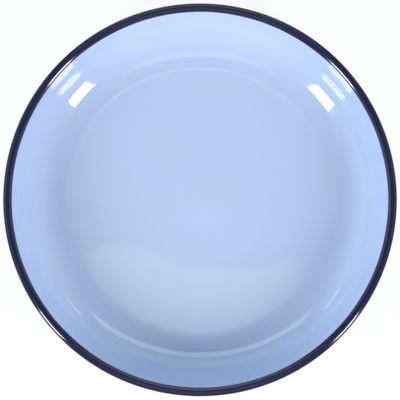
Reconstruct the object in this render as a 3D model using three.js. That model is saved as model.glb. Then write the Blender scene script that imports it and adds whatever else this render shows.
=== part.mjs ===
// Enamelled steel bowl: one pressed sheet with a rolled rim, fired with ground and cover coats.
// Millimetres, +Z up, origin at the centre of the underside.
import * as THREE from "three";

// Form of the bowl
const RIM_DIAMETER = 220; // across the coated bead
const BOWL_HEIGHT = 33; // from the underside to the top of the coated rim
const EASE_RADIUS = 35; // first part of the corner, out of the bottom, on the food side
const EASE_ANGLE = 22; // degrees above level where the tighter part begins
const CORNER_RADIUS = 25; // rest of the corner, up to the wall, on the food side
const WALL_ANGLE = 74; // degrees above level
const LIP_RADIUS = 2.8; // where the wall flares over to the top of the rim, on the food side
const BEAD_DIAMETER = 4.7; // of the roll beyond that, with its coats
const THROAT_GAP = 0.4; // slot between the roll's edge and the outer wall

// Sheet and fired coats
const SHEET_THICKNESS = 0.7;
const GROUND_COAT = 0.1;
const INSIDE_COVER = 0.2;
const OUTSIDE_COVER = 0.2;
const BAND_COAT = 0.2;
const BAND_DROP = 2.7; // how far the navy band runs down the lip from the top of the rim
const LAYER_GAP = 0.02; // clearance that keeps each layer a solid of its own

// Fineness of the facets
const SEGMENTS = 48; // around the bowl
const EASE_STEPS = 2;
const CORNER_STEPS = 4;
const LIP_STEPS = 2; // from the wall to the band's edge, and again to the top of the rim
const OVER_STEPS = 3; // from the top of the rim to its widest point
const UNDER_STEPS = 4; // from there to the sheet's edge

// Faces of the layers, measured from the middle of the sheet.
const steelFace = SHEET_THICKNESS / 2;
const groundSeat = steelFace + LAYER_GAP;
const groundFace = groundSeat + GROUND_COAT;
const coverSeat = groundFace + LAYER_GAP;
const insideFace = coverSeat + INSIDE_COVER;
const outsideFace = coverSeat + OUTSIDE_COVER;
const bandFace = coverSeat + BAND_COAT;

// The middle of the sheet: flat bottom, corner of two arcs, straight wall, lip, roll.
const easeSlope = THREE.MathUtils.degToRad(EASE_ANGLE);
const wallSlope = THREE.MathUtils.degToRad(WALL_ANGLE);
const coatedBead = BEAD_DIAMETER / 2;
const rimTopRadius = RIM_DIAMETER / 2 - coatedBead;
const lipRadius = LIP_RADIUS - bandFace;
const rollRadius = coatedBead - bandFace;
const easeRadius = EASE_RADIUS + insideFace;
const cornerRadius = CORNER_RADIUS + insideFace;
const bottomLevel = outsideFace;

// A station is a point on the middle of the sheet, with the sheet's slope there in radians.
function onLip(slope) {
  const r = rimTopRadius - lipRadius * Math.sin(slope);
  const z = BOWL_HEIGHT - LIP_RADIUS + lipRadius * Math.cos(slope);
  return { r, z, slope };
}

function onRoll(slope) {
  const r = rimTopRadius - rollRadius * Math.sin(slope);
  const z = BOWL_HEIGHT - coatedBead + rollRadius * Math.cos(slope);
  return { r, z, slope };
}

const wallTop = onLip(wallSlope);
const tightening = easeRadius - cornerRadius;
const cornerRise = easeRadius - tightening * Math.cos(easeSlope) - cornerRadius * Math.cos(wallSlope);
const cornerRun = tightening * Math.sin(easeSlope) + cornerRadius * Math.sin(wallSlope);
const wallRise = wallTop.z - bottomLevel - cornerRise;
const bottomRadius = wallTop.r - wallRise / Math.tan(wallSlope) - cornerRun;

function onEase(slope) {
  const r = bottomRadius + easeRadius * Math.sin(slope);
  const z = bottomLevel + easeRadius * (1 - Math.cos(slope));
  return { r, z, slope };
}

function onCorner(slope) {
  const start = onEase(easeSlope);
  const r = start.r + cornerRadius * (Math.sin(slope) - Math.sin(easeSlope));
  const z = start.z + cornerRadius * (Math.cos(easeSlope) - Math.cos(slope));
  return { r, z, slope };
}

// The roll stops where its coated edge is a throat gap short of the coated outer wall.
const rollSide = -Math.PI / 2;
const rollToWall = lipRadius - (LIP_RADIUS - coatedBead) * Math.cos(wallSlope) - outsideFace;
const rollEnd = wallSlope - 2 * Math.PI + Math.acos((rollToWall - THROAT_GAP) / coatedBead);

// Stations after the start of an arc, up to its end.
function sweep(steps, start, end, place) {
  return Array.from({ length: steps }, (_, i) => place(start + ((end - start) * (i + 1)) / steps));
}

const centre = { r: 0, z: bottomLevel, slope: 0 };
const dish = [
  centre,
  onEase(0),
  ...sweep(EASE_STEPS, 0, easeSlope, onEase),
  ...sweep(CORNER_STEPS, easeSlope, wallSlope, onCorner),
];
const bandSlope = BAND_DROP / LIP_RADIUS;
const underBand = [
  ...sweep(LIP_STEPS, bandSlope, 0, onLip),
  ...sweep(OVER_STEPS, 0, rollSide, onRoll),
  ...sweep(UNDER_STEPS, rollSide, rollEnd, onRoll),
];
const sheet = [...dish, wallTop, ...sweep(LIP_STEPS, wallSlope, bandSlope, onLip), ...underBand];

// A point off the middle of the sheet: positive towards the food side and the outside of the roll.
function offset(station, distance) {
  const r = station.r - distance * Math.sin(station.slope);
  const z = station.z + distance * Math.cos(station.slope);
  return new THREE.Vector2(r, z);
}

// One layer of the stack, turned about the bowl's axis between two faces.
function layer(name, stations, lowFace, highFace, look) {
  const low = stations.map((station) => offset(station, lowFace));
  const high = stations.map((station) => offset(station, highFace)).reverse();
  const outline = [...low, ...high];
  if (stations[0] !== centre) outline.push(low[0].clone());
  const geometry = new THREE.LatheGeometry(outline, SEGMENTS).rotateX(Math.PI / 2);
  const mesh = new THREE.Mesh(geometry, new THREE.MeshStandardMaterial(look));
  mesh.name = name;
  return mesh;
}

const bareSteel = { color: 0x8a8c90, roughness: 0.45, metalness: 1 };
const groundEnamel = { color: 0x1c2030, roughness: 0.35, metalness: 0 };
const paleBlueEnamel = { color: 0xb3c7e8, roughness: 0.08, metalness: 0 };
const navyEnamel = { color: 0x1f2138, roughness: 0.1, metalness: 0 };

const bowl = new THREE.Group();

// Pressed sheet, with the open roll of its rim.
bowl.add(layer("steel_shell", sheet, -steelFace, steelFace, bareSteel));

// Ground coats on both faces of the sheet.
bowl.add(layer("ground_coat_inside", sheet, groundSeat, groundFace, groundEnamel));
bowl.add(layer("ground_coat_outside", [...dish, wallTop], -groundFace, -groundSeat, groundEnamel));

// Pale blue cover coats.
const coverSlope = (BAND_DROP + LAYER_GAP) / LIP_RADIUS;
const foodSide = [...dish, wallTop, ...sweep(LIP_STEPS, wallSlope, coverSlope, onLip)];
bowl.add(layer("cover_coat_inside", foodSide, coverSeat, insideFace, paleBlueEnamel));
bowl.add(layer("cover_coat_outside", [...dish, wallTop], -outsideFace, -coverSeat, paleBlueEnamel));

// Navy band over the lip's upper part and the whole roll.
bowl.add(layer("rim_band", [onLip(bandSlope), ...underBand], coverSeat, bandFace, navyEnamel));

export default bowl;
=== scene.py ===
"""Looks of an enamelled steel bowl with a navy rolled rim, built around its solids. Metres, +Z up."""
import math

import bmesh
import bpy
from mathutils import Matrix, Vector


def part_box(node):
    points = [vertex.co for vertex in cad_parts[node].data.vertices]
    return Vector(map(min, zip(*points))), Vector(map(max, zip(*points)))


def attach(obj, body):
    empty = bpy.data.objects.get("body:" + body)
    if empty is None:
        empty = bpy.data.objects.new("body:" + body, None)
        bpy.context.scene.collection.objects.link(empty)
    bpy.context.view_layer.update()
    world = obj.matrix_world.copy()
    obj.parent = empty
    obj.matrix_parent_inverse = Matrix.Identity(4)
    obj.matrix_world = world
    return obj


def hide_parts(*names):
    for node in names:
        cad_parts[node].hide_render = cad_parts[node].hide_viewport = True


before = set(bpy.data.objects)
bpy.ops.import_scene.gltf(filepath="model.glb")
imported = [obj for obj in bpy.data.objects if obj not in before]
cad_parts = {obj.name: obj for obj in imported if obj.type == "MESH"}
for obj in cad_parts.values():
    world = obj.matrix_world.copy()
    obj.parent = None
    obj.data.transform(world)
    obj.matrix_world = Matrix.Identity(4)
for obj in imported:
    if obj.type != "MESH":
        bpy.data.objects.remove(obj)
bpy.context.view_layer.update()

MM = 0.001

# Form of the bowl, as in the solids. The rim's radius and height come from the frame.
EASE_RADIUS = 35 * MM
EASE_ANGLE = math.radians(22)
CORNER_RADIUS = 25 * MM
WALL_ANGLE = math.radians(74)
LIP_RADIUS = 2.8 * MM
BEAD_DIAMETER = 4.7 * MM
THROAT_GAP = 0.4 * MM
SHEET_THICKNESS = 0.7 * MM
GROUND_COAT = 0.1 * MM
COVER_COAT = 0.2 * MM
BAND_DROP = 2.7 * MM
LAYER_GAP = 0.02 * MM

# Navy band's edge: how far below the solids' line it lies, and height and count of each wave round it
BAND_RUN = 0.5 * MM
BAND_WAVES = ((0.05 * MM, 3), (0.04 * MM, 7), (0.03 * MM, 17))

# Fineness of the meshes
SEGMENTS = 256
FLAT_STEPS = 6
EASE_STEPS = 10
CORNER_STEPS = 20
WALL_STEPS = 4
LIP_STEPS = 6
OVER_STEPS = 9
UNDER_STEPS = 14
SHARP_ANGLE = math.radians(40)
WELD_DISTANCE = LAYER_GAP / 10

# Faces of the layers, measured from the middle of the sheet
STEEL_FACE = SHEET_THICKNESS / 2
GROUND_SEAT = STEEL_FACE + LAYER_GAP
GROUND_FACE = GROUND_SEAT + GROUND_COAT
COVER_SEAT = GROUND_FACE + LAYER_GAP
COVER_FACE = COVER_SEAT + COVER_COAT

RIM_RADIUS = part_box("rim_band")[1].x
BOWL_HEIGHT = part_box("rim_band")[1].z
COATED_BEAD = BEAD_DIAMETER / 2
RIM_TOP_RADIUS = RIM_RADIUS - COATED_BEAD


# A station is a point on the middle of the sheet, with the sheet's slope there: (r, z, slope).
def on_circle(centre_height, coated_radius, slope):
    radius = coated_radius - COVER_FACE
    r = RIM_TOP_RADIUS - radius * math.sin(slope)
    z = centre_height + radius * math.cos(slope)
    return r, z, slope


def on_lip(slope):
    return on_circle(BOWL_HEIGHT - LIP_RADIUS, LIP_RADIUS, slope)


def on_roll(slope):
    return on_circle(BOWL_HEIGHT - COATED_BEAD, COATED_BEAD, slope)


WALL_TOP = on_lip(WALL_ANGLE)
EASE_BEND = EASE_RADIUS + COVER_FACE
CORNER_BEND = CORNER_RADIUS + COVER_FACE
TIGHTENING = EASE_BEND - CORNER_BEND
CORNER_RISE = EASE_BEND - TIGHTENING * math.cos(EASE_ANGLE) - CORNER_BEND * math.cos(WALL_ANGLE)
CORNER_RUN = TIGHTENING * math.sin(EASE_ANGLE) + CORNER_BEND * math.sin(WALL_ANGLE)
WALL_RISE = WALL_TOP[1] - COVER_FACE - CORNER_RISE
WALL_RUN = WALL_RISE / math.tan(WALL_ANGLE)
BOTTOM_RADIUS = WALL_TOP[0] - WALL_RUN - CORNER_RUN

ROLL_SIDE = -math.pi / 2
ROLL_TO_WALL = LIP_RADIUS - 2 * COVER_FACE - (LIP_RADIUS - COATED_BEAD) * math.cos(WALL_ANGLE)
ROLL_END = WALL_ANGLE - 2 * math.pi + math.acos((ROLL_TO_WALL - THROAT_GAP) / COATED_BEAD)


def on_flat(r):
    return r, COVER_FACE, 0.0


def on_ease(slope):
    r = BOTTOM_RADIUS + EASE_BEND * math.sin(slope)
    z = COVER_FACE + EASE_BEND * (1 - math.cos(slope))
    return r, z, slope


def on_corner(slope):
    start_r, start_z, start_slope = on_ease(EASE_ANGLE)
    r = start_r + CORNER_BEND * (math.sin(slope) - math.sin(start_slope))
    z = start_z + CORNER_BEND * (math.cos(start_slope) - math.cos(slope))
    return r, z, slope


def on_wall(share):
    r = WALL_TOP[0] - WALL_RUN * (1 - share)
    z = WALL_TOP[1] - WALL_RISE * (1 - share)
    return r, z, WALL_ANGLE


def sweep(steps, start, end, place):
    """Stations after the start of a stretch, up to its end."""
    return [place(start + (end - start) * (step + 1) / steps) for step in range(steps)]


def band_slope(azimuth, drop):
    """Slope of the lip where the navy band's edge lies, at one place round the rim."""
    wave = sum(height * math.sin(count * azimuth + count) for height, count in BAND_WAVES)
    return (drop + BAND_RUN + wave) / LIP_RADIUS


DISH = [
    on_flat(0),
    *sweep(FLAT_STEPS, 0, BOTTOM_RADIUS, on_flat),
    *sweep(EASE_STEPS, 0, EASE_ANGLE, on_ease),
    *sweep(CORNER_STEPS, EASE_ANGLE, WALL_ANGLE, on_corner),
    *sweep(WALL_STEPS, 0, 1, on_wall),
]
ROLL = [
    *sweep(OVER_STEPS, 0, ROLL_SIDE, on_roll),
    *sweep(UNDER_STEPS, ROLL_SIDE, ROLL_END, on_roll),
]


def outer_line(azimuth):
    """Under the bottom and up the outer wall to the throat."""
    return DISH


def cover_line(azimuth):
    """Over the food side, up to the navy band."""
    edge = band_slope(azimuth, BAND_DROP + LAYER_GAP)
    return DISH + sweep(LIP_STEPS, WALL_ANGLE, edge, on_lip)


def band_line(azimuth):
    """From the navy band's edge over the rim to the sheet's edge."""
    edge = band_slope(azimuth, BAND_DROP)
    return [on_lip(edge), *sweep(LIP_STEPS, edge, 0, on_lip), *ROLL]


def sheet_line(azimuth):
    """The whole sheet, with the same stations as the coats on it."""
    edge = band_slope(azimuth, BAND_DROP)
    return DISH + sweep(LIP_STEPS, WALL_ANGLE, edge, on_lip) + band_line(azimuth)[1:]


def offset(station, distance):
    r, z, slope = station
    return r - distance * math.sin(slope), z + distance * math.cos(slope)


def section(line, low_face, high_face):
    """Outline of one layer across the sheet."""
    low = [offset(station, low_face) for station in line]
    high = [offset(station, high_face) for station in reversed(line)]
    return low + high


def turned(name, outline_at):
    """A closed mesh from the outlines at each place round the axis."""
    mesh = bmesh.new()
    columns = []
    for step in range(SEGMENTS):
        azimuth = step * 2 * math.pi / SEGMENTS
        across, along = math.cos(azimuth), math.sin(azimuth)
        columns.append([mesh.verts.new((r * across, r * along, z)) for r, z in outline_at(azimuth)])
    for here, following in zip(columns, columns[1:] + columns[:1]):
        for point in range(len(here)):
            before = point - 1
            mesh.faces.new((here[before], following[before], following[point], here[point]))
    bmesh.ops.remove_doubles(mesh, verts=mesh.verts, dist=WELD_DISTANCE)
    bmesh.ops.dissolve_degenerate(mesh, edges=mesh.edges, dist=WELD_DISTANCE)
    bmesh.ops.recalc_face_normals(mesh, faces=mesh.faces)
    for face in mesh.faces:
        face.smooth = True
    data = bpy.data.meshes.new(name)
    mesh.to_mesh(data)
    mesh.free()
    data.set_sharp_from_angle(angle=SHARP_ANGLE)
    piece = bpy.data.objects.new(name, data)
    bpy.context.scene.collection.objects.link(piece)
    return piece


def layer(node, line, low_face, high_face, material):
    """One fired coat or the sheet itself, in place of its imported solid."""
    piece = turned(node + "_fine", lambda azimuth: section(line(azimuth), low_face, high_face))
    piece.data.materials.append(material)
    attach(piece, "root")
    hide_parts(node)


# Materials

def add(tree, kind, inputs=None, **settings):
    """A node with its settings, and its sockets set to values or linked to other sockets."""
    node = tree.nodes.new(kind)
    for name, value in settings.items():
        setattr(node, name, value)
    for socket, value in (inputs or {}).items():
        if isinstance(value, bpy.types.NodeSocket):
            tree.links.new(value, node.inputs[socket])
        else:
            node.inputs[socket].default_value = value
    return node


def blank(name):
    """A new material, its node tree and its shader."""
    material = bpy.data.materials.new(name)
    material.use_nodes = True
    tree = material.node_tree
    return material, tree, tree.nodes["Principled BSDF"]


def place_on_piece(tree):
    """Object coordinates in metres."""
    return add(tree, "ShaderNodeTexCoord").outputs["Object"]


def noise(tree, place, wavelength, detail):
    inputs = {"Vector": place, "Scale": 1 / wavelength, "Detail": detail}
    return add(tree, "ShaderNodeTexNoise", inputs).outputs["Fac"]


def remap(tree, value, low, high, to_low=0.0, to_high=1.0, curve="LINEAR"):
    inputs = {"Value": value, "From Min": low, "From Max": high, "To Min": to_low, "To Max": to_high}
    return add(tree, "ShaderNodeMapRange", inputs, interpolation_type=curve).outputs["Result"]


def combined(tree, operation, values):
    """Several values brought together by one operation."""
    total = values[0]
    for value in values[1:]:
        total = add(tree, "ShaderNodeMath", {0: total, 1: value}, operation=operation).outputs["Value"]
    return total


def mixed(tree, factor, first, second):
    """A shader between two others."""
    return add(tree, "ShaderNodeMixShader", {0: factor, 1: first, 2: second}).outputs["Shader"]


def blend(tree, factor, first, second):
    """A colour between two others."""
    node = add(tree, "ShaderNodeMix", data_type="RGBA")
    sockets = [socket for socket in node.inputs if socket.enabled]
    for socket, value in zip(sockets, (factor, first, second)):
        if isinstance(value, bpy.types.NodeSocket):
            tree.links.new(value, socket)
        else:
            socket.default_value = value
    return next(socket for socket in node.outputs if socket.enabled)


def tone(colour, share):
    return tuple(channel * share for channel in colour) + (1.0,)


PALE_BLUE = (0.444, 0.554, 0.781)
NAVY = (0.011, 0.0105, 0.046)
GROUND_BLACK = (0.012, 0.014, 0.03)
STEEL_GREY = (0.26, 0.26, 0.28)

# Stretch of a noise's values that is used, and its octaves
NOISE_RANGE = (0.3, 0.7)
GRAIN_RANGE = (0.25, 0.75)
FINE_OCTAVES = 4.0
BROAD_OCTAVES = 3.0
PEEL_OCTAVES = 1.0
WAVE_OCTAVES = 0.0

# Fired enamel. Each tone is a share of the enamel's own colour.
CLOUD_SIZE = 45 * MM
CLOUD_DARK = 0.985
CLOUD_PALE = 1.015
GRAIN_SIZE = 0.9 * MM
GRAIN_TONE = 0.85
GRAIN_SHARE = 0.06
PINHOLE_SPACING = 14 * MM
PINHOLE_RADIUS = 0.16 * MM
PINHOLE_SHARE = 0.3
PINHOLE_TONE = 0.35
POLISH_SIZE = 20 * MM
POLISH_SPREAD = 1.5
PEEL_SIZE = 5 * MM
PEEL_DEPTH = 0.003 * MM
PEEL_STRENGTH = 0.1
ENAMEL_IOR = 1.55

# Long waves of the pressed sheet: the depth is for the noise's whole range
WAVE_LENGTH = 60 * MM
WAVE_DEPTH = 0.6 * MM
WAVE_STRENGTH = 1.0
WAVE_SEED = 5.0

# Gloss of the bead, which falls between two circles inside its widest one
FLANK_START = 1.3 * MM
FLANK_END = 0.7 * MM
BEAD_GLOSS = 0.5
FLANK_GLOSS = 0.03

# Pickled steel
ETCH_SIZE = 0.4 * MM
ETCH_DARK = 0.8
ETCH_PALE = 1.2
STEEL_SMOOTH = 0.35
STEEL_ROUGH = 0.5


def pinholes(tree, place):
    """Rare round specks where a bubble broke in the firing."""
    cells = add(tree, "ShaderNodeTexVoronoi", {"Vector": place, "Scale": 1 / PINHOLE_SPACING})
    reach = PINHOLE_RADIUS / PINHOLE_SPACING
    near = remap(tree, cells.outputs["Distance"], reach, reach / 2)
    pick = add(tree, "ShaderNodeSeparateColor", {"Color": cells.outputs["Color"]}).outputs["Red"]
    chosen = add(tree, "ShaderNodeMath", {0: pick, 1: PINHOLE_SHARE}, operation="LESS_THAN")
    return combined(tree, "MULTIPLY", [near, chosen.outputs["Value"]])


def enamel(name, colour, roughness):
    """Fired enamel: faint clouds, fine grain, rare pinholes and an orange-peel surface."""
    material, tree, shader = blank(name)
    place = place_on_piece(tree)
    clouds = remap(tree, noise(tree, place, CLOUD_SIZE, BROAD_OCTAVES), *NOISE_RANGE)
    clouded = blend(tree, clouds, tone(colour, CLOUD_DARK), tone(colour, CLOUD_PALE))
    grain = remap(tree, noise(tree, place, GRAIN_SIZE, FINE_OCTAVES), *GRAIN_RANGE, 0, GRAIN_SHARE)
    grained = blend(tree, grain, clouded, tone(colour, GRAIN_TONE))
    spotted = blend(tree, pinholes(tree, place), grained, tone(colour, PINHOLE_TONE))
    tree.links.new(spotted, shader.inputs["Base Color"])
    polish = noise(tree, place, POLISH_SIZE, BROAD_OCTAVES)
    polished = remap(tree, polish, *NOISE_RANGE, roughness, roughness * POLISH_SPREAD)
    tree.links.new(polished, shader.inputs["Roughness"])
    peel = noise(tree, place, PEEL_SIZE, PEEL_OCTAVES)
    bump = add(tree, "ShaderNodeBump", {"Height": peel, "Strength": PEEL_STRENGTH, "Distance": PEEL_DEPTH})
    tree.links.new(bump.outputs["Normal"], shader.inputs["Normal"])
    shader.inputs["IOR"].default_value = ENAMEL_IOR
    return material


def wavy_sheet(material):
    """The slight long waves of a pressed sheet, seen in what the flat bottom mirrors."""
    tree = material.node_tree
    normal = tree.nodes["Principled BSDF"].inputs["Normal"]
    place = place_on_piece(tree)
    pattern = {"Vector": place, "W": WAVE_SEED, "Scale": 1 / WAVE_LENGTH, "Detail": WAVE_OCTAVES}
    waves = add(tree, "ShaderNodeTexNoise", pattern, noise_dimensions="4D").outputs["Fac"]
    peel = normal.links[0].from_socket
    relief = {"Height": waves, "Strength": WAVE_STRENGTH, "Distance": WAVE_DEPTH, "Normal": peel}
    tree.links.new(add(tree, "ShaderNodeBump", relief).outputs["Normal"], normal)


def dull_flank(material):
    """Less gloss on the bead's outer flank, so that it stays dark against the white floor."""
    tree = material.node_tree
    level = add(tree, "ShaderNodeVectorMath", {0: place_on_piece(tree), 1: (1, 1, 0)}, operation="MULTIPLY")
    radius = add(tree, "ShaderNodeVectorMath", {0: level.outputs["Vector"]}, operation="LENGTH")
    start = RIM_RADIUS - FLANK_START
    end = RIM_RADIUS - FLANK_END
    gloss = remap(tree, radius.outputs["Value"], start, end, BEAD_GLOSS, FLANK_GLOSS)
    tree.links.new(gloss, tree.nodes["Principled BSDF"].inputs["Specular IOR Level"])


def steel():
    """Pickled sheet: even grey with a fine etched grain."""
    material, tree, shader = blank("pickled_steel")
    etched = noise(tree, place_on_piece(tree), ETCH_SIZE, FINE_OCTAVES)
    shade = blend(tree, etched, tone(STEEL_GREY, ETCH_DARK), tone(STEEL_GREY, ETCH_PALE))
    tree.links.new(shade, shader.inputs["Base Color"])
    roughness = remap(tree, etched, *NOISE_RANGE, STEEL_SMOOTH, STEEL_ROUGH)
    tree.links.new(roughness, shader.inputs["Roughness"])
    shader.inputs["Metallic"].default_value = 1.0
    return material


inside_enamel = enamel("inside_enamel", PALE_BLUE, roughness=0.02)
wavy_sheet(inside_enamel)
outside_enamel = enamel("outside_enamel", PALE_BLUE, roughness=0.06)
rim_enamel = enamel("rim_enamel", NAVY, roughness=0.06)
dull_flank(rim_enamel)
ground_enamel = enamel("ground_enamel", GROUND_BLACK, roughness=0.3)

layer("steel_shell", sheet_line, -STEEL_FACE, STEEL_FACE, steel())
layer("ground_coat_inside", sheet_line, GROUND_SEAT, GROUND_FACE, ground_enamel)
layer("ground_coat_outside", outer_line, -GROUND_FACE, -GROUND_SEAT, ground_enamel)
layer("cover_coat_inside", cover_line, COVER_SEAT, COVER_FACE, inside_enamel)
layer("cover_coat_outside", outer_line, -COVER_FACE, -COVER_SEAT, outside_enamel)
layer("rim_band", band_line, COVER_SEAT, COVER_FACE, rim_enamel)


# Floor

FLOOR_SIZE = 40.0
FLOOR_DROP = 0.05 * MM
FLOOR_GREY = (0.85, 0.85, 0.85, 1.0)
FLOOR_ROUGHNESS = 0.9
FLOOR_GLOW = 0.9


def pale_floor():
    """Matt pale board, lit from within where it is seen. It lets light and the view through from below."""
    material, tree, shader = blank("pale_floor")
    shader.inputs["Base Color"].default_value = FLOOR_GREY
    shader.inputs["Roughness"].default_value = FLOOR_ROUGHNESS
    shader.inputs["Specular IOR Level"].default_value = 0.0
    white = add(tree, "ShaderNodeEmission")
    path = add(tree, "ShaderNodeLightPath").outputs
    sights = [path["Is Camera Ray"], path["Is Glossy Ray"], path["Is Transmission Ray"]]
    glow_share = remap(tree, combined(tree, "MAXIMUM", sights), 0, 1, 0, FLOOR_GLOW)
    board = mixed(tree, glow_share, shader.outputs["BSDF"], white.outputs["Emission"])
    below = add(tree, "ShaderNodeNewGeometry").outputs["Backfacing"]
    through = combined(tree, "MAXIMUM", [below, path["Is Shadow Ray"]])
    clear = add(tree, "ShaderNodeBsdfTransparent")
    surface = mixed(tree, through, board, clear.outputs["BSDF"])
    tree.links.new(surface, tree.nodes["Material Output"].inputs["Surface"])
    return material


def floor():
    mesh = bmesh.new()
    bmesh.ops.create_grid(mesh, x_segments=1, y_segments=1, size=FLOOR_SIZE / 2)
    data = bpy.data.meshes.new("floor")
    mesh.to_mesh(data)
    mesh.free()
    ground = bpy.data.objects.new("floor", data)
    ground.location.z = -FLOOR_DROP
    bpy.context.scene.collection.objects.link(ground)
    data.materials.append(pale_floor())


floor()


# Light

WARM = (1.08, 1.0, 0.95)
NEUTRAL = (1.0, 1.0, 1.0)
COOL = (0.78, 1.0, 1.14)


def toward(azimuth, elevation):
    """Direction from its bearing and elevation in degrees."""
    bearing, rise = math.radians(azimuth), math.radians(elevation)
    level = math.cos(rise)
    return Vector((level * math.cos(bearing), level * math.sin(bearing), math.sin(rise)))


def softbox(name, azimuth, elevation, distance, width, height, radiance, tint):
    """A soft lamp at a bearing and height over the bowl, facing the middle of its rim."""
    data = bpy.data.lights.new(name, "AREA")
    data.shape = "RECTANGLE"
    data.size = width
    data.size_y = height
    data.energy = radiance * math.pi * width * height
    data.color = tint
    lamp = bpy.data.objects.new(name, data)
    back = toward(azimuth, elevation)
    lamp.location = Vector((0, 0, BOWL_HEIGHT)) + back * distance
    lamp.rotation_euler = back.to_track_quat("Z", "Y").to_euler()
    lamp.visible_camera = False
    bpy.context.scene.collection.objects.link(lamp)


STRIP_BEARINGS = {"left": 217.5, "right": 321.5}
STRIP_ELEVATION = 27.2
STROKE_BEARINGS = {"left": 140, "right": 43}

# Two bright strips in front, each in a wider and dimmer diffuser
for side, bearing in STRIP_BEARINGS.items():
    softbox("strip_" + side, bearing, STRIP_ELEVATION, distance=1.1,
            width=0.18, height=0.54, radiance=26.0, tint=WARM)
    softbox("spill_" + side, bearing, STRIP_ELEVATION, distance=1.12,
            width=0.25, height=0.57, radiance=1.2, tint=WARM)

# Dim panels: two overhead, one high in front and one behind
softbox("overhead", azimuth=90, elevation=86.6, distance=2.0,
        width=0.38, height=0.4, radiance=0.62, tint=NEUTRAL)
softbox("overhead_front", azimuth=270, elevation=89.4, distance=1.98,
        width=0.36, height=0.13, radiance=0.95, tint=WARM)
softbox("front_panel", azimuth=270, elevation=61.8, distance=1.7,
        width=0.95, height=0.36, radiance=1.2, tint=WARM)
softbox("back_panel", azimuth=90, elevation=46, distance=1.6,
        width=1.83, height=0.37, radiance=2.2, tint=NEUTRAL)

# Two small lamps low behind, seen as short strokes beside the ends of the back panel's arc
for side, bearing in STROKE_BEARINGS.items():
    softbox("stroke_" + side, bearing, elevation=14, distance=1.4,
            width=0.2, height=0.1, radiance=3.6, tint=NEUTRAL)

# Soft glows of the room: bearing, elevation and half-width in degrees, and level
GLOWS = (
    (270, 22, 55, 0.22),
    (270, 15, 85, 0.28),
    (175, 15, 50, 1.25),
    (5, 15, 50, 0.92),
    (90, 8, 40, 1.6),
)


def glow(tree, direction, azimuth, elevation, half_width, level):
    """Light that fades smoothly to nothing at a given angle off its own direction."""
    aim = {0: direction, 1: toward(azimuth, elevation)}
    nearness = add(tree, "ShaderNodeVectorMath", aim, operation="DOT_PRODUCT").outputs["Value"]
    edge = math.cos(math.radians(half_width))
    return remap(tree, nearness, edge, 1.0, 0.0, level, "SMOOTHSTEP")


def studio_world():
    """Even soft light, the sum of the glows."""
    world = bpy.data.worlds.new("studio")
    world.use_nodes = True
    tree = world.node_tree
    direction = add(tree, "ShaderNodeTexCoord").outputs["Generated"]
    level = combined(tree, "ADD", [glow(tree, direction, *spread) for spread in GLOWS])
    background = tree.nodes["Background"]
    background.inputs["Color"].default_value = (*COOL, 1.0)
    tree.links.new(level, background.inputs["Strength"])
    bpy.context.scene.world = world


studio_world()


# Camera

CAMERA_DISTANCE = 1.1
CAMERA_TILT = math.radians(3.75)
FRAME_WIDTH = 223.0 * MM
SENSOR_WIDTH = 36.0
AIM = Vector((0, -0.93 * MM, BOWL_HEIGHT))

lens = bpy.data.cameras.new("camera")
lens.sensor_width = SENSOR_WIDTH
lens.lens = SENSOR_WIDTH * CAMERA_DISTANCE / FRAME_WIDTH
camera = bpy.data.objects.new("camera", lens)
camera.location = AIM + Vector((0, -math.sin(CAMERA_TILT), math.cos(CAMERA_TILT))) * CAMERA_DISTANCE
camera.rotation_euler = (CAMERA_TILT, 0, 0)
bpy.context.scene.collection.objects.link(camera)
bpy.context.scene.camera = camera

bpy.context.scene.view_settings.view_transform = "Standard"
